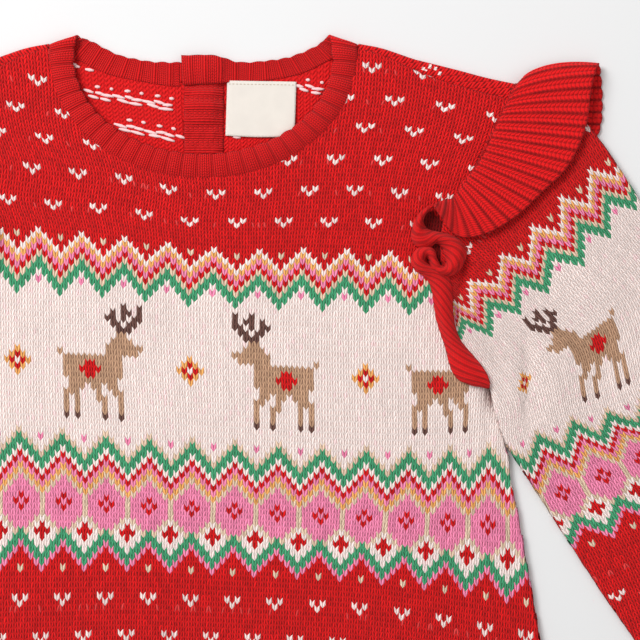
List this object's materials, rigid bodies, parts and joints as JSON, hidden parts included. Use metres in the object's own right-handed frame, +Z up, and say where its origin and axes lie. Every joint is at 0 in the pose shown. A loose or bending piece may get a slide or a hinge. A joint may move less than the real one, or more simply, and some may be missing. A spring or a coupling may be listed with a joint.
{
  "type": "knit dress",
  "caption": "Child's knitted pullover dress laid flat, with a flared body, long sleeves, a ribbed frill in each armhole and a round ribbed neck that buttons at the back.",
  "frame": {"origin": "centre of the dress's box in plan, on the surface that it lies on", "axes": "+X across the dress towards the wearer's left, +Y up its length towards the neck, +Z up from the surface, the way its front faces"},
  "size_m": [0.6756, 0.5012, 0.0135],
  "materials": {
    "knit": "soft matt jersey knit with bands of colourwork",
    "rib": "soft matt ribbed knit",
    "label": "smooth woven tape",
    "button": "polished"
  },
  "bodies": {
    "root": {"body_front": "knit", "body_back": "knit", "hem_front": "rib", "hem_back": "rib", "sleeve_right": "knit", "sleeve_left": "knit", "cuff_right": "rib", "cuff_left": "rib", "ruffle_right": "rib", "ruffle_left": "rib", "neckband": "rib", "placket_outer": "rib", "placket_inner": "rib", "button_upper": "button", "button_lower": "button", "label": "label"}
  },
  "joints": []
}
